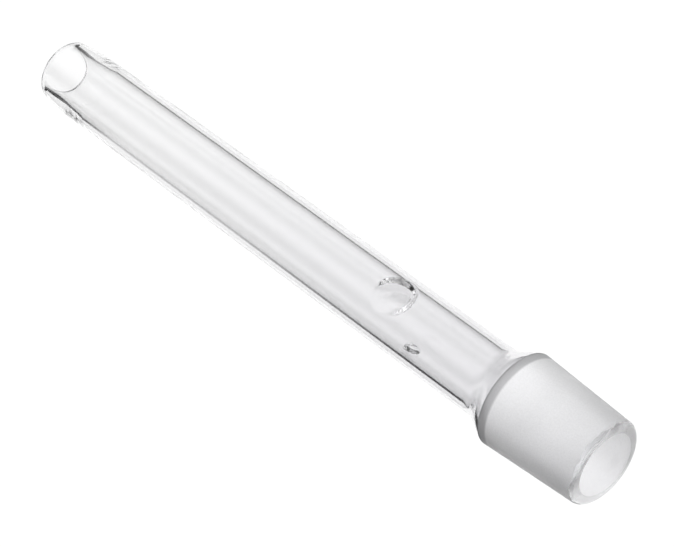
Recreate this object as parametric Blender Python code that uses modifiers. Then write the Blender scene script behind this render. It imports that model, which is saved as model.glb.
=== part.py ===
"""A glass extraction tube with a standard-taper ground joint, lying on its side.

Two blanks make it: a heavy-wall tube with a thickened mouth and two pressed indentations, and a male
45/50 joint whose stub is fused to the tube's end. Both are turned shapes about one axis.

Frame: metres, +Z up. The tube's axis is parallel to X, with the joint at +X and the mouth at -X. The origin is
under the middle of the length, on the surface that the joint's wide rim rests on.
"""

import math

import bmesh
import bpy
from mathutils import Matrix, Vector

# Driving dimensions, in metres. Lengths along the axis are counted from the joint's wide end.

# The tube
TUBE_OUTER_DIAMETER = 0.0335
TUBE_BORE_DIAMETER = 0.0268
TUBE_LENGTH = 0.300  # mouth rim to the joint's wide end

# The mouth: the end is drawn in a little outside, thickened inside, and fire polished
MOUTH_DRAW_IN = 0.00115  # how far the outside comes in
MOUTH_THICKENING = 0.0018  # how far the bore comes in
MOUTH_DRAWN_LENGTH = 0.016  # over which the outside is drawn in
MOUTH_TAPER_LENGTH = 0.030  # from the narrowest bore out to the full bore
MOUTH_TAPER_POWER = 1.2  # 1 is a straight cone; more eases into the full bore
MOUTH_RIM_LAND = 0.0010  # width of the flat at the rim's crest

# The indentations, one in the top and a smaller one underneath; turns are from straight up towards -Y
TOP_INDENT_TO_JOINT = 0.069  # from its centre to the joint's wide end
TOP_INDENT_TURN = 20.0
TOP_INDENT_RADIUS = 0.010  # of the dished footprint
TOP_INDENT_DEPTH = 0.0038
LOW_INDENT_TO_JOINT = 0.060
LOW_INDENT_TURN = 174.0
LOW_INDENT_RADIUS = 0.0045
LOW_INDENT_DEPTH = 0.0014
INDENT_STEEPNESS = 2.2  # 1 falls all the way to the centre; more leaves a floor
INDENT_LEAN = 1.2  # how much the floor slopes, because the tool is held at a slant
INDENT_SLANT = 20.0  # the floor's way down, from sideways towards the mouth
INDENT_RING_MARGIN = 0.0004  # of the close rings past the footprints

# The ground joint, standard taper 45/50
JOINT_WIDE_DIAMETER = 0.045
JOINT_CONE_LENGTH = 0.048
JOINT_TAPER = 0.1  # change of diameter over length
JOINT_WALL = 0.0038  # at the wide end
LIP_LENGTH = 0.0030  # rounded nose past the cone
LIP_ROUNDING = 0.0036  # how far the nose curves in from the cone
LIP_WALL = 0.0052  # from the cone's small end in to the lip's bore
LIP_BORE_BLEND = 0.006  # along the axis, from the lip's bore to the wall
LIP_EDGE_RADIUS = 0.0007  # inner edge

# The shoulder between the tube and the cone's wide end
SHOULDER_LENGTH = 0.014
SHOULDER_FULLNESS = 1.2  # how far it stays wide next to the rim before it hollows in
SHOULDER_BORE_START = 0.012  # where the bore starts to open, from the wide end
SHOULDER_BORE_END = 0.002  # where it meets the joint's own bore, past the wide end
STUB_LENGTH = 0.006  # straight stub between the shoulder and the fused seal

# Facets
TURN_STEPS = 64
INDENT_RINGS = 26
CURVE_POINTS = 8  # along a flare, shoulder or blend
ROUND_POINTS = 5  # along a rounded edge
MERGE_DISTANCE = 0.00001

GLASS_COLOUR = (0.90, 0.91, 0.93, 1.0)
GROUND_GLASS_COLOUR = (0.80, 0.81, 0.83, 1.0)

# Places along X, and the height of the axis
TOTAL_LENGTH = TUBE_LENGTH + JOINT_CONE_LENGTH + LIP_LENGTH
MOUTH_X = -TOTAL_LENGTH / 2
WIDE_END_X = MOUTH_X + TUBE_LENGTH
SEAL_X = WIDE_END_X - SHOULDER_LENGTH - STUB_LENGTH
TOP_INDENT_X = WIDE_END_X - TOP_INDENT_TO_JOINT
LOW_INDENT_X = WIDE_END_X - LOW_INDENT_TO_JOINT
HALF_STEP = math.pi / TURN_STEPS
AXIS_HEIGHT = JOINT_WIDE_DIAMETER / 2 * math.cos(HALF_STEP)


def smooth(value):
    """An S-curve from 0 to 1 with level ends."""
    value = min(max(value, 0.0), 1.0)
    return value * value * (3 - 2 * value)


def spread(start, end, count):
    """count values from just after start up to end."""
    return [start + (end - start) * index / count for index in range(1, count + 1)]


def arc(centre, radii, start, end, count):
    """Points of an ellipse's arc as (radius, x); the angles are in degrees from the outward radius to +X."""
    points = []
    for angle in [start] + spread(start, end, count):
        turn = math.radians(angle)
        points.append((centre[0] + radii[0] * math.cos(turn), centre[1] + radii[1] * math.sin(turn)))
    return points


def tube_profile():
    """(radius, x) round the tube's wall: down its outside from the seal, round the mouth rim and back inside."""
    outer = TUBE_OUTER_DIAMETER / 2
    bore = TUBE_BORE_DIAMETER / 2
    mouth_outer = outer - MOUTH_DRAW_IN
    mouth_bore = bore - MOUTH_THICKENING
    rim_middle = (mouth_outer + mouth_bore) / 2
    rim_round = (mouth_outer - mouth_bore - MOUTH_RIM_LAND) / 2

    rim_start = MOUTH_X + rim_round
    drawn_start = MOUTH_X + MOUTH_DRAWN_LENGTH

    rings = indent_rings()
    points = [(outer, SEAL_X)]
    points += [(outer, x) for x in reversed(rings)]
    for x in [drawn_start] + spread(drawn_start, rim_start, ROUND_POINTS):
        drawn = (drawn_start - x) / (drawn_start - rim_start)
        points.append((outer - (outer - mouth_outer) * drawn * drawn, x))
    outer_corner = (rim_middle + MOUTH_RIM_LAND / 2, rim_start)
    points += arc(outer_corner, (rim_round, rim_round), 0, -90, ROUND_POINTS)[1:]
    inner_corner = (rim_middle - MOUTH_RIM_LAND / 2, rim_start)
    points += arc(inner_corner, (rim_round, rim_round), -90, -180, ROUND_POINTS)
    for left in spread(1.0, 0.0, CURVE_POINTS):
        narrowed = MOUTH_THICKENING * left ** MOUTH_TAPER_POWER
        points.append((bore - narrowed, rim_start + MOUTH_TAPER_LENGTH * (1 - left)))
    points += [(bore, x) for x in rings]
    points.append((bore, SEAL_X))
    return points


def joint_profile():
    """(radius, x) round the joint's wall: down its outside from the lip, over the shoulder and back inside."""
    outer = TUBE_OUTER_DIAMETER / 2
    bore = TUBE_BORE_DIAMETER / 2
    wide = JOINT_WIDE_DIAMETER / 2
    small = wide - JOINT_CONE_LENGTH * JOINT_TAPER / 2
    lip_bore = small - LIP_WALL
    cone_end = WIDE_END_X + JOINT_CONE_LENGTH
    lip_end = cone_end + LIP_LENGTH

    points = arc((small - LIP_ROUNDING, cone_end), (LIP_ROUNDING, LIP_LENGTH), 90, 0, ROUND_POINTS)
    points.append((wide, WIDE_END_X))
    for x in spread(WIDE_END_X, WIDE_END_X - SHOULDER_LENGTH, CURVE_POINTS):
        points.append((outer + (wide - outer) * shoulder_shape((WIDE_END_X - x) / SHOULDER_LENGTH), x))
    points.append((outer, SEAL_X))
    points.append((bore, SEAL_X))

    bore_start = WIDE_END_X - SHOULDER_BORE_START
    bore_end = WIDE_END_X + SHOULDER_BORE_END
    blend_start = cone_end - LIP_BORE_BLEND
    for x in [bore_start] + spread(bore_start, bore_end, CURVE_POINTS):
        opened = smooth((x - bore_start) / (bore_end - bore_start))
        points.append((bore + (cone_bore(x) - bore) * opened, x))
    points.append((cone_bore(blend_start), blend_start))
    blend_end = lip_end - LIP_EDGE_RADIUS
    for x in spread(blend_start, blend_end, ROUND_POINTS):
        narrowed = smooth((x - blend_start) / (blend_end - blend_start))
        points.append((cone_bore(x) + (lip_bore - cone_bore(x)) * narrowed, x))
    edge = (lip_bore + LIP_EDGE_RADIUS, blend_end)
    points += arc(edge, (LIP_EDGE_RADIUS, LIP_EDGE_RADIUS), 180, 90, ROUND_POINTS)[1:]
    return points


def cone_bore(x):
    """The joint's bore radius, which follows the ground cone at the wall's thickness."""
    return JOINT_WIDE_DIAMETER / 2 - JOINT_WALL - (x - WIDE_END_X) * JOINT_TAPER / 2


def shoulder_shape(away):
    """1 at the wide end and 0 at the tube: full next to the rim, hollow next to the tube."""
    return (1 - away) ** 2 * (1 + SHOULDER_FULLNESS * away)


def indent_rings():
    """Places along X of the rings that carry the indentations' shapes, mouth side first."""
    top_start = TOP_INDENT_X - TOP_INDENT_RADIUS
    top_end = TOP_INDENT_X + TOP_INDENT_RADIUS
    low_start = LOW_INDENT_X - LOW_INDENT_RADIUS
    low_end = LOW_INDENT_X + LOW_INDENT_RADIUS
    start = min(top_start, low_start) - INDENT_RING_MARGIN
    end = max(top_end, low_end) + INDENT_RING_MARGIN
    return [start] + spread(start, end, INDENT_RINGS)


def turned(name, profile, colour, roughness, collection):
    """A closed solid turned from (radius, x) points about the object's own Z, which is laid along X."""
    mesh = bpy.data.meshes.new(name)
    outline = bmesh.new()
    corners = []
    for radius, x in profile:
        corner = Vector((radius * math.cos(HALF_STEP), radius * math.sin(HALF_STEP), x))
        corners.append(outline.verts.new(corner))
    for index, corner in enumerate(corners):
        outline.edges.new((corner, corners[(index + 1) % len(corners)]))
    outline.to_mesh(mesh)
    outline.free()
    obj = bpy.data.objects.new(name, mesh)
    collection.objects.link(obj)
    obj.rotation_euler = (0.0, math.pi / 2, 0.0)
    obj.location = (0.0, 0.0, AXIS_HEIGHT)
    screw = obj.modifiers.new("Turn", "SCREW")
    screw.axis = "Z"
    screw.steps = TURN_STEPS
    screw.render_steps = TURN_STEPS
    screw.use_merge_vertices = True
    screw.merge_threshold = MERGE_DISTANCE
    screw.use_smooth_shade = True
    material = bpy.data.materials.new(name)
    material.use_nodes = True
    shader = material.node_tree.nodes["Principled BSDF"]
    shader.inputs["Base Color"].default_value = colour
    shader.inputs["Roughness"].default_value = roughness
    shader.inputs["Metallic"].default_value = 0.0
    mesh.materials.append(material)
    return obj


def made_real(obj):
    """The turned mesh as plain vertices, with no modifier left."""
    graph = bpy.context.evaluated_depsgraph_get()
    solid = bpy.data.meshes.new_from_object(obj.evaluated_get(graph))
    obj.modifiers.clear()
    obj.data = solid
    return solid


def press_indent(solid, centre_x, turn, radius, depth):
    """Pushes both walls inwards over a round footprint; the floor slopes, deepest on the slanted side."""
    turned_by = Matrix.Rotation(math.radians(turn), 3, "Z")
    outward = turned_by @ Vector((-1.0, 0.0, 0.0))  # the object's own -X is up
    sideways = turned_by @ Vector((0.0, 1.0, 0.0))
    slant = math.radians(INDENT_SLANT)
    for vertex in solid.vertices:
        if vertex.co.dot(outward) <= 0:
            continue
        along = (vertex.co.z - centre_x) / radius
        across = vertex.co.dot(sideways) / radius
        slope = 1 + INDENT_LEAN * (across * math.cos(slant) - along * math.sin(slant))
        share = smooth(INDENT_STEEPNESS * (1 - math.hypot(along, across)))
        vertex.co -= outward * depth * slope * share


def clear_scene():
    for obj in list(bpy.data.objects):
        bpy.data.objects.remove(obj, do_unlink=True)


clear_scene()
extraction_collection = bpy.data.collections.new("extraction_tube_with_joint")
bpy.context.scene.collection.children.link(extraction_collection)
tube = turned("extraction_tube", tube_profile(), GLASS_COLOUR, 0.02, extraction_collection)
walls = made_real(tube)
press_indent(walls, TOP_INDENT_X, TOP_INDENT_TURN, TOP_INDENT_RADIUS, TOP_INDENT_DEPTH)
press_indent(walls, LOW_INDENT_X, LOW_INDENT_TURN, LOW_INDENT_RADIUS, LOW_INDENT_DEPTH)
turned("ground_joint", joint_profile(), GROUND_GLASS_COLOUR, 0.5, extraction_collection)
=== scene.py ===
import math

import bmesh
import bpy
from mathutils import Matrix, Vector


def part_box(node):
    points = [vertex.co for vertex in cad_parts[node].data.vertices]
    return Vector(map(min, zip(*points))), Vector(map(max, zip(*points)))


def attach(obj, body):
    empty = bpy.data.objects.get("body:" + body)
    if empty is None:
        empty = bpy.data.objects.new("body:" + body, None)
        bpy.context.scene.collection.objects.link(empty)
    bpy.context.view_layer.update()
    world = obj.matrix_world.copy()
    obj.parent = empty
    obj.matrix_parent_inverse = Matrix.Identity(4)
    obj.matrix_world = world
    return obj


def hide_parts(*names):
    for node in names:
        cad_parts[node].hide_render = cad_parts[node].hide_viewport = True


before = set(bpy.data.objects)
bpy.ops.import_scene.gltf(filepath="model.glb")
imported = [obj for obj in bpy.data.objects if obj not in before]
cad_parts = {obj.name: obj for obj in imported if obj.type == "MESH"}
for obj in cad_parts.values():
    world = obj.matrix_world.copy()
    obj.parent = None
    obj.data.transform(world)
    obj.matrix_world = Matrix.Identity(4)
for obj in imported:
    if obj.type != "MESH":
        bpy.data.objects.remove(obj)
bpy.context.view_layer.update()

tube_low, tube_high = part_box("extraction_tube")
joint_low, joint_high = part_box("ground_joint")
axis_height = (joint_low.z + joint_high.z) / 2


# Extraction tube -----------------------------------------------------------------------------
# Drawn heavy-wall borosilicate tubing. One end is upset in the flame into a thick, rounded mouth that is
# drawn in a little, and two indentations, nearly opposite each other, are pressed in lower down to hold up
# a thimble. The other end is fused to the joint.

TUBE_OUTER = (tube_high.z - tube_low.z) / 2
TUBE_BORE = 0.0134
MOUTH_X = tube_low.x
SEAL_X = tube_high.x
SEAL_MARGIN = 1e-6

# The mouth: the outside is drawn in over a short length, and the wall thickens over a longer one.
MOUTH_OUTER = 0.0156
MOUTH_BORE = 0.0116
MOUTH_LAND = 0.0010
MOUTH_DRAWN = 0.016
MOUTH_TAPER = 0.030
MOUTH_POWER = 1.2
DRAWN_RINGS = 24
TAPER_RINGS = 40
RIM_RINGS = 12

# Each indentation: its turn from the top, its centre along the tube, the radius of its dish and its depth.
INDENT_X = SEAL_X - 0.048
INDENTS = (
    (math.radians(20.0), INDENT_X - 0.001, 0.0100, 0.0038),
    (math.radians(174.0), INDENT_X + 0.0080, 0.0045, 0.0014),
)
INDENT_FLAT = 2.2
INDENT_LEAN = 1.2
INDENT_SLANT = math.radians(20.0)
INDENT_REACH = 0.0154
INDENT_RINGS = 64

TURN_STEPS = 256
MERGE_DISTANCE = 1e-7
SHARP_ANGLE = math.radians(15)

GLASS_IOR = 1.474
# The glass's faint tint, which is painted darker towards the joint as shade.
GLASS_AT_MOUTH = (0.90, 0.90, 0.903)
GLASS_SHADED_AT_JOINT = (0.83, 0.828, 0.84)
STREAK_STRETCH = (12.0, 260.0, 260.0)
STREAK_STRENGTH = 0.05
PATTERN_DETAIL = 2.0
RELIEF_HEIGHT = 0.0001


def smooth(value):
    """An S-curve from 0 to 1 with level ends."""
    value = min(max(value, 0.0), 1.0)
    return value * value * (3 - 2 * value)


def spread(start, end, count):
    """Evenly spaced values, count of them, from just after start up to end."""
    return [start + (end - start) * index / count for index in range(1, count + 1)]


def arc(centre, radii, start, end, count):
    """Points (x, radius) of an ellipse's arc. Angles are in degrees, from the outward radius towards +X."""
    points = []
    for angle in [start] + spread(start, end, count):
        turn = math.radians(angle)
        points.append((centre[0] + radii[0] * math.sin(turn), centre[1] + radii[1] * math.cos(turn)))
    return points


def turned_glass(outline):
    """Spins a closed outline of (x, radius) points about the tube's axis into a solid wall of glass."""
    wall = bmesh.new()
    corners = [wall.verts.new((x, 0.0, axis_height + radius)) for x, radius in outline]
    for index, corner in enumerate(corners):
        wall.edges.new((corner, corners[(index + 1) % len(corners)]))
    bmesh.ops.spin(
        wall,
        geom=wall.verts[:] + wall.edges[:],
        cent=(0.0, 0.0, axis_height),
        axis=(1.0, 0.0, 0.0),
        dvec=(0.0, 0.0, 0.0),
        angle=2 * math.pi,
        steps=TURN_STEPS,
        use_merge=True,
        use_duplicate=False,
    )
    bmesh.ops.remove_doubles(wall, verts=wall.verts[:], dist=MERGE_DISTANCE)
    bmesh.ops.recalc_face_normals(wall, faces=wall.faces[:])
    for face in wall.faces:
        face.smooth = True
    return wall


def finished(name, wall, materials):
    """The wall as a piece of the scene. It casts no shadow and leaves the floor's shading alone."""
    mesh = bpy.data.meshes.new(name)
    wall.to_mesh(mesh)
    wall.free()
    mesh.set_sharp_from_angle(angle=SHARP_ANGLE)
    for material in materials:
        mesh.materials.append(material)
    piece = bpy.data.objects.new(name, mesh)
    bpy.context.scene.collection.objects.link(piece)
    piece.visible_shadow = False
    piece.visible_diffuse = False
    return piece


def new_material(name):
    """A new material, with its nodes, its links and its shader."""
    material = bpy.data.materials.new(name)
    material.use_nodes = True
    nodes = material.node_tree.nodes
    return material, nodes, material.node_tree.links, nodes["Principled BSDF"]


def colour_ramp(nodes, links, value, stops):
    """The colour at a value between 0 and 1. The stops are (position, colour), from the lowest up."""
    ramp = nodes.new("ShaderNodeValToRGB")
    for index, (position, colour) in enumerate(stops):
        stop = ramp.color_ramp.elements[index] if index < 2 else ramp.color_ramp.elements.new(position)
        stop.position = position
        stop.color = (*colour, 1.0)
    links.new(value, ramp.inputs["Fac"])
    return ramp.outputs["Color"]


def moved_range(nodes, links, value, old, new):
    """A value taken from the old range (low, high) to the new one, and held at its ends."""
    share = nodes.new("ShaderNodeMapRange")
    share.inputs["From Min"].default_value = old[0]
    share.inputs["From Max"].default_value = old[1]
    share.inputs["To Min"].default_value = new[0]
    share.inputs["To Max"].default_value = new[1]
    links.new(value, share.inputs["Value"])
    return share.outputs["Result"]


def along_tube(nodes, links, start, end, stops):
    """A colour that changes along X, with its stops given as shares of the way from start to end."""
    coordinates = nodes.new("ShaderNodeTexCoord")
    split = nodes.new("ShaderNodeSeparateXYZ")
    links.new(coordinates.outputs["Object"], split.inputs["Vector"])
    share = moved_range(nodes, links, split.outputs["X"], (start, end), (0.0, 1.0))
    return colour_ramp(nodes, links, share, stops)


def relief(nodes, links, pattern, strength):
    """The slight unevenness that a pattern gives a surface."""
    bump = nodes.new("ShaderNodeBump")
    bump.inputs["Strength"].default_value = strength
    bump.inputs["Distance"].default_value = RELIEF_HEIGHT
    links.new(pattern, bump.inputs["Height"])
    return bump.outputs["Normal"]


def clear_glass():
    """Clear glass, streaked faintly along its length by the drawing; painted shade darkens it towards the
    joint.
    """
    material, nodes, links, shader = new_material("clear_glass")
    shader.inputs["Roughness"].default_value = 0.0
    shader.inputs["IOR"].default_value = GLASS_IOR
    shader.inputs["Transmission Weight"].default_value = 1.0
    # Painted shade: the glass's colour darkens from the mouth towards the joint.
    glass_shade_stops = [(0.15, GLASS_AT_MOUTH), (0.85, GLASS_SHADED_AT_JOINT)]
    glass_painted_shade = along_tube(nodes, links, MOUTH_X, joint_high.x, glass_shade_stops)
    links.new(glass_painted_shade, shader.inputs["Base Color"])
    coordinates = nodes.new("ShaderNodeTexCoord")
    stretch = nodes.new("ShaderNodeMapping")
    stretch.inputs["Scale"].default_value = STREAK_STRETCH
    streaks = nodes.new("ShaderNodeTexNoise")
    streaks.inputs["Scale"].default_value = 1.0
    streaks.inputs["Detail"].default_value = PATTERN_DETAIL
    links.new(coordinates.outputs["Object"], stretch.inputs["Vector"])
    links.new(stretch.outputs["Vector"], streaks.inputs["Vector"])
    uneven = relief(nodes, links, streaks.outputs["Fac"], STREAK_STRENGTH)
    links.new(uneven, shader.inputs["Normal"])
    return material


def fused_seal():
    """The glass runs on through the fused seal, so the two meeting faces there show nothing."""
    material, nodes, links, shader = new_material("fused_seal")
    nodes.remove(shader)
    clear = nodes.new("ShaderNodeBsdfTransparent")
    links.new(clear.outputs["BSDF"], nodes["Material Output"].inputs["Surface"])
    return material


rim_middle = (MOUTH_OUTER + MOUTH_BORE) / 2
rim_round = (MOUTH_OUTER - MOUTH_BORE - MOUTH_LAND) / 2
rim_start = MOUTH_X + rim_round
rim_outer = (rim_start, rim_middle + MOUTH_LAND / 2)
rim_inner = (rim_start, rim_middle - MOUTH_LAND / 2)
drawn_start = MOUTH_X + MOUTH_DRAWN
indent_rings = spread(INDENT_X - INDENT_REACH, INDENT_X + INDENT_REACH, INDENT_RINGS)

tube_outline = [(SEAL_X, TUBE_OUTER)]
tube_outline += [(x, TUBE_OUTER) for x in reversed(indent_rings)]
for x in [drawn_start] + spread(drawn_start, rim_start, DRAWN_RINGS):
    drawn = (drawn_start - x) / (drawn_start - rim_start)
    tube_outline.append((x, TUBE_OUTER - (TUBE_OUTER - MOUTH_OUTER) * drawn * drawn))
tube_outline += arc(rim_outer, (rim_round, rim_round), 0, -90, RIM_RINGS)[1:]
tube_outline += arc(rim_inner, (rim_round, rim_round), -90, -180, RIM_RINGS)
for x in spread(rim_start, rim_start + MOUTH_TAPER, TAPER_RINGS):
    left = 1 - (x - rim_start) / MOUTH_TAPER
    tube_outline.append((x, TUBE_BORE - (TUBE_BORE - MOUTH_BORE) * max(left, 0.0) ** MOUTH_POWER))
tube_outline += [(x, TUBE_BORE) for x in indent_rings]
tube_outline.append((SEAL_X, TUBE_BORE))

glass_materials = [clear_glass(), fused_seal()]
SEAL = 1

tube_wall = turned_glass(tube_outline)
for face in tube_wall.faces:
    if face.calc_center_median().x > SEAL_X - SEAL_MARGIN:
        face.material_index = SEAL
        face.smooth = False
axis_point = Vector((0.0, 0.0, axis_height))
for turn, centre_x, radius, depth in INDENTS:
    outward = Vector((0.0, -math.sin(turn), math.cos(turn)))
    sideways = Vector((0.0, math.cos(turn), math.sin(turn)))
    for vertex in tube_wall.verts:
        place = vertex.co - axis_point
        if place.dot(outward) <= 0:
            continue
        along = (place.x - centre_x) / radius
        across = place.dot(sideways) / radius
        lean = 1 + INDENT_LEAN * (across * math.cos(INDENT_SLANT) - along * math.sin(INDENT_SLANT))
        dish = smooth(INDENT_FLAT * (1 - math.hypot(along, across)))
        vertex.co -= outward * depth * lean * dish
tube = finished("extraction_tube_glass", tube_wall, glass_materials)
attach(tube, "root")
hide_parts("extraction_tube")


# Ground joint --------------------------------------------------------------------------------
# A male 45/50 standard-taper joint blown from the same glass. The cone is ground with abrasive against a
# matching socket, so it is frosted; the shoulder, the bore and the fire-polished lip stay clear.

JOINT_WIDE = (joint_high.z - joint_low.z) / 2
JOINT_CONE = 0.048
JOINT_TAPER = 0.1
JOINT_WALL = 0.0038
WIDE_EDGE = 0.0004

SHOULDER = 0.014
SHOULDER_FULLNESS = 1.2
SHOULDER_RINGS = 32
SHOULDER_BORE_START = 0.012
SHOULDER_BORE_END = 0.002
SHOULDER_BORE_RINGS = 24

LIP_LENGTH = 0.0030
LIP_ROUNDING = 0.0036
LIP_RINGS = 24
LIP_BORE = 0.0149
LIP_BLEND = 0.006
LIP_BLEND_RINGS = 16
LIP_EDGE = 0.0007
LIP_EDGE_RINGS = 6

# The frosting's colour holds painted shade: a dark band at the wide end, and a little more grey again
# towards the lip.
GROUND_LENGTH = 0.0496
GROUND_RAGGED = 0.0007
GROUND_ROUGHNESS = 0.5
GROUND_TRANSMISSION = 0.45
GROUND_SHADE_STOPS = [
    (0.0, (0.20, 0.20, 0.21)),
    (0.02, (0.42, 0.42, 0.43)),
    (0.07, (0.48, 0.48, 0.49)),
    (0.09, (0.93, 0.93, 0.94)),
    (0.5, (0.84, 0.84, 0.85)),
    (1.0, (0.74, 0.74, 0.75)),
]
GROUND_FACING = (0.08, 0.9)
GROUND_EDGE_SHADE = (1.0, 0.6)
GRAIN_SCALE = 1500.0
GRAIN_SPAN = (0.3, 0.7)
GRAIN_SPECKLE = (0.95, 1.05)
GRAIN_STRENGTH = 0.25

lip_end = joint_high.x
cone_end = lip_end - LIP_LENGTH
wide_x = cone_end - JOINT_CONE
cone_narrow = JOINT_WIDE - JOINT_CONE * JOINT_TAPER / 2


def cone_bore(x):
    """The bore's radius inside the cone, which follows the taper."""
    return JOINT_WIDE - JOINT_WALL - (x - wide_x) * JOINT_TAPER / 2


def ground_glass():
    """Frosted by the grinding: cloudy and finely grained, with painted shade along it and where it is seen
    edge on.
    """
    material, nodes, links, shader = new_material("ground_glass")
    shader.inputs["Roughness"].default_value = GROUND_ROUGHNESS
    shader.inputs["IOR"].default_value = GLASS_IOR
    shader.inputs["Transmission Weight"].default_value = GROUND_TRANSMISSION
    # Painted shade along the cone: a dark band at the wide end, greyer towards the lip.
    colour = along_tube(nodes, links, wide_x, lip_end, GROUND_SHADE_STOPS)
    # Painted shade: the colour greys where the frosting is seen edge on.
    weight = nodes.new("ShaderNodeLayerWeight")
    weight.inputs["Blend"].default_value = 0.5
    edge = moved_range(nodes, links, weight.outputs["Facing"], GROUND_FACING, GROUND_EDGE_SHADE)
    coordinates = nodes.new("ShaderNodeTexCoord")
    grain = nodes.new("ShaderNodeTexNoise")
    grain.inputs["Scale"].default_value = GRAIN_SCALE
    grain.inputs["Detail"].default_value = PATTERN_DETAIL
    links.new(coordinates.outputs["Object"], grain.inputs["Vector"])
    speckle = moved_range(nodes, links, grain.outputs["Fac"], GRAIN_SPAN, GRAIN_SPECKLE)
    share = nodes.new("ShaderNodeMath")
    share.operation = "MULTIPLY"
    links.new(edge, share.inputs[0])
    links.new(speckle, share.inputs[1])
    tinted = nodes.new("ShaderNodeVectorMath")
    tinted.operation = "SCALE"
    links.new(colour, tinted.inputs["Vector"])
    links.new(share.outputs["Value"], tinted.inputs["Scale"])
    links.new(tinted.outputs["Vector"], shader.inputs["Base Color"])
    uneven = relief(nodes, links, grain.outputs["Fac"], GRAIN_STRENGTH)
    links.new(uneven, shader.inputs["Normal"])
    return material


def ground_limit(angle):
    """Where the frosting stops on the lip, a little ragged round the edge."""
    ragged = 0.5 * math.sin(5 * angle + 1) + 0.3 * math.sin(13 * angle) + 0.2 * math.sin(29 * angle + 2)
    return wide_x + GROUND_LENGTH + GROUND_RAGGED * ragged


joint_outline = arc((cone_end, cone_narrow - LIP_ROUNDING), (LIP_LENGTH, LIP_ROUNDING), 90, 0, LIP_RINGS)
joint_outline.append((wide_x + WIDE_EDGE, JOINT_WIDE - WIDE_EDGE * JOINT_TAPER / 2))
joint_outline.append((wide_x, JOINT_WIDE))
for x in spread(wide_x, wide_x - SHOULDER, SHOULDER_RINGS):
    away = (wide_x - x) / SHOULDER
    full = (1 - away) ** 2 * (1 + SHOULDER_FULLNESS * away)
    joint_outline.append((x, TUBE_OUTER + (JOINT_WIDE - TUBE_OUTER) * full))
joint_outline.append((SEAL_X, TUBE_OUTER))
joint_outline.append((SEAL_X, TUBE_BORE))
bore_start = wide_x - SHOULDER_BORE_START
bore_end = wide_x + SHOULDER_BORE_END
for x in [bore_start] + spread(bore_start, bore_end, SHOULDER_BORE_RINGS):
    opened = smooth((x - bore_start) / (bore_end - bore_start))
    joint_outline.append((x, TUBE_BORE + (cone_bore(x) - TUBE_BORE) * opened))
blend_start = cone_end - LIP_BLEND
blend_end = lip_end - LIP_EDGE
joint_outline.append((blend_start, cone_bore(blend_start)))
for x in spread(blend_start, blend_end, LIP_BLEND_RINGS):
    narrowed = smooth((x - blend_start) / (blend_end - blend_start))
    joint_outline.append((x, cone_bore(x) + (LIP_BORE - cone_bore(x)) * narrowed))
joint_outline += arc((blend_end, LIP_BORE + LIP_EDGE), (LIP_EDGE, LIP_EDGE), 180, 90, LIP_EDGE_RINGS)[1:]

GROUND = 2
joint_wall = turned_glass(joint_outline)
for face in joint_wall.faces:
    middle = face.calc_center_median()
    if middle.x < SEAL_X + SEAL_MARGIN:
        face.material_index = SEAL
        face.smooth = False
    elif wide_x < middle.x < ground_limit(math.atan2(middle.y, middle.z - axis_height)):
        if face.normal.dot(Vector((0.0, middle.y, middle.z - axis_height))) > 0:
            face.material_index = GROUND
joint = finished("ground_joint_glass", joint_wall, glass_materials + [ground_glass()])
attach(joint, "root")
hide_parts("ground_joint")


# Floor ---------------------------------------------------------------------------------------
# A plain, near-white sheet that the tube lies on, with two thin cards of painted shadow just above it that
# only the glass sees. The first, beside the tube, is a painted shadow that darkens the line of the bore.
# The second, under the joint, is painted shade that darkens the lower side of the frosting and can be seen
# only from above.

FLOOR_SIZE = 6.0
FLOOR_WHITE = 0.86
FLOOR_ROUGHNESS = 0.9

# Painted shadow beside the tube, where the tube's own shadow would fall; its grey changes along the tube.
CARD_LIFT = 0.0002
CARD_START = -0.20
CARD_END = 0.20
CARD_OUTER_SIDE = -0.060
CARD_SIDE_AT_START = -0.0195
CARD_SIDE_AT_END = -0.0175
SHADOW_CARD_STOPS = [(0.0875, 0.02), (0.15, 0.45), (0.375, 0.40), (0.55, 0.15), (0.65, 0.02)]

# Painted shade under the joint, seen only by the frosting's diffuse light.
SHADE_LIFT = 0.0003
SHADE_START = 0.105
SHADE_END = 0.22
SHADE_OUTER_SIDE = -0.12
SHADE_INNER_SIDE = 0.0
SHADE_GREY = 0.12


def grey(value):
    """A neutral colour."""
    return (value, value, value)


def painted_shade_card(name, lift, corners, material):
    """A thin sheet of painted shadow over the floor. The camera doesn't see it and it casts no shadow."""
    sheet = bmesh.new()
    sheet.faces.new([sheet.verts.new((x, y, lift)) for x, y in corners])
    mesh = bpy.data.meshes.new(name)
    sheet.to_mesh(mesh)
    sheet.free()
    mesh.materials.append(material)
    shadow_card = bpy.data.objects.new(name, mesh)
    bpy.context.scene.collection.objects.link(shadow_card)
    shadow_card.visible_camera = False
    shadow_card.visible_shadow = False
    return shadow_card


bpy.ops.mesh.primitive_plane_add(size=FLOOR_SIZE, location=(0.0, 0.0, 0.0))
floor = bpy.context.object
floor.name = "floor"
floor_material, nodes, links, shader = new_material("floor")
shader.inputs["Base Color"].default_value = (*grey(FLOOR_WHITE), 1.0)
shader.inputs["Roughness"].default_value = FLOOR_ROUGHNESS
shader.inputs["Specular IOR Level"].default_value = 0.0
floor.data.materials.append(floor_material)

# This sheet's grey along the tube is painted shadow.
shadow_card_material, nodes, links, shader = new_material("shadow_card")
painted_shadow_stops = [(position, grey(value)) for position, value in SHADOW_CARD_STOPS]
painted_shadow_colour = along_tube(nodes, links, CARD_START, CARD_END, painted_shadow_stops)
links.new(painted_shadow_colour, shader.inputs["Base Color"])
shader.inputs["Specular IOR Level"].default_value = 0.0
card_corners = (
    (CARD_START, CARD_OUTER_SIDE),
    (CARD_END, CARD_OUTER_SIDE),
    (CARD_END, CARD_SIDE_AT_END),
    (CARD_START, CARD_SIDE_AT_START),
)
bore_shadow_card = painted_shade_card("shadow_card", CARD_LIFT, card_corners, shadow_card_material)
bore_shadow_card.visible_diffuse = False

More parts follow.
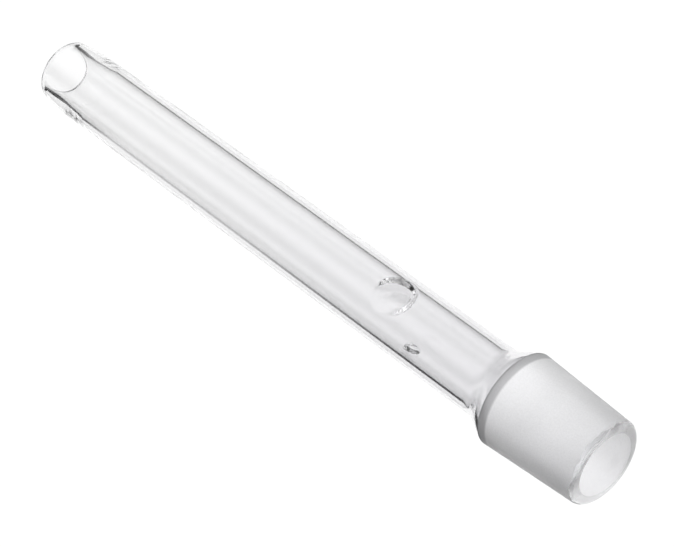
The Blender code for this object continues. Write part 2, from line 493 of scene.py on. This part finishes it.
shade_material, nodes, links, shader = new_material("shade")
shader.inputs["Base Color"].default_value = (*grey(SHADE_GREY), 1.0)
geometry = nodes.new("ShaderNodeNewGeometry")
clear = nodes.new("ShaderNodeBsdfTransparent")
one_sided = nodes.new("ShaderNodeMixShader")
links.new(geometry.outputs["Backfacing"], one_sided.inputs["Fac"])
links.new(shader.outputs["BSDF"], one_sided.inputs[1])
links.new(clear.outputs["BSDF"], one_sided.inputs[2])
links.new(one_sided.outputs["Shader"], nodes["Material Output"].inputs["Surface"])
shade_corners = (
    (SHADE_START, SHADE_OUTER_SIDE),
    (SHADE_END, SHADE_OUTER_SIDE),
    (SHADE_END, SHADE_INNER_SIDE),
    (SHADE_START, SHADE_INNER_SIDE),
)
joint_card = painted_shade_card("shade", SHADE_LIFT, shade_corners, shade_material)
joint_card.visible_transmission = False
joint_card.visible_glossy = False


# Light ---------------------------------------------------------------------------------------
# A white dome overhead, with a dark band low down all round and a dimmer side where the tube is seen from.
# Light runs a long way inside the glass wall before it leaves, so it is followed through many turns.

DOME_STRENGTH = 1.7
HORIZON_GREY = 0.25
BAND_GREY = 0.05
DOME_STOPS = [(0.0, grey(HORIZON_GREY)), (0.1, grey(BAND_GREY)), (0.3, grey(BAND_GREY)), (0.6, grey(1.0))]
DIM_SIDE = (0.74, -0.67, 0.0)
DIM_SHARE = 0.55
DIM_STOPS = [(0.2, grey(1.0)), (0.6, grey(DIM_SHARE))]
LIGHT_TURNS = 88

world = bpy.data.worlds.new("studio")
bpy.context.scene.world = world
world.use_nodes = True
nodes = world.node_tree.nodes
links = world.node_tree.links
background = nodes["Background"]
background.inputs["Strength"].default_value = DOME_STRENGTH
coordinates = nodes.new("ShaderNodeTexCoord")
split = nodes.new("ShaderNodeSeparateXYZ")
links.new(coordinates.outputs["Generated"], split.inputs["Vector"])
dome = colour_ramp(nodes, links, split.outputs["Z"], DOME_STOPS)
towards = nodes.new("ShaderNodeVectorMath")
towards.operation = "DOT_PRODUCT"
towards.inputs[1].default_value = DIM_SIDE
links.new(coordinates.outputs["Generated"], towards.inputs[0])
dim = colour_ramp(nodes, links, towards.outputs["Value"], DIM_STOPS)
mixed = nodes.new("ShaderNodeMix")
mixed.data_type = "RGBA"
mixed.blend_type = "MULTIPLY"
mixed.inputs["Factor"].default_value = 1.0
links.new(dome, mixed.inputs["A"])
links.new(dim, mixed.inputs["B"])
links.new(mixed.outputs["Result"], background.inputs["Color"])

bpy.context.scene.cycles.max_bounces = LIGHT_TURNS
bpy.context.scene.cycles.transmission_bounces = LIGHT_TURNS
bpy.context.scene.cycles.glossy_bounces = LIGHT_TURNS


# Camera --------------------------------------------------------------------------------------
# A long lens looks down on the tube from beyond its joint, so that the joint is near and the mouth is far.
# Colours are shown as they are, with no film look.

CAMERA_AZIMUTH = math.radians(47.68)
CAMERA_ELEVATION = math.radians(41.84)
CAMERA_DISTANCE = 1.2023
CAMERA_AIM = Vector((0.01625, -0.00122, 0.02156))
CAMERA_LENS = 147.56
CAMERA_SENSOR = 36.0
view_axis = Vector((
    math.sin(CAMERA_AZIMUTH) * math.cos(CAMERA_ELEVATION),
    -math.cos(CAMERA_AZIMUTH) * math.cos(CAMERA_ELEVATION),
    math.sin(CAMERA_ELEVATION),
))
camera_data = bpy.data.cameras.new("camera")
camera_data.lens = CAMERA_LENS
camera_data.sensor_width = CAMERA_SENSOR
camera = bpy.data.objects.new("camera", camera_data)
bpy.context.scene.collection.objects.link(camera)
camera.location = CAMERA_AIM + view_axis * CAMERA_DISTANCE
camera.rotation_euler = view_axis.to_track_quat("Z", "Y").to_euler()
bpy.context.scene.camera = camera
bpy.context.scene.view_settings.view_transform = "Standard"
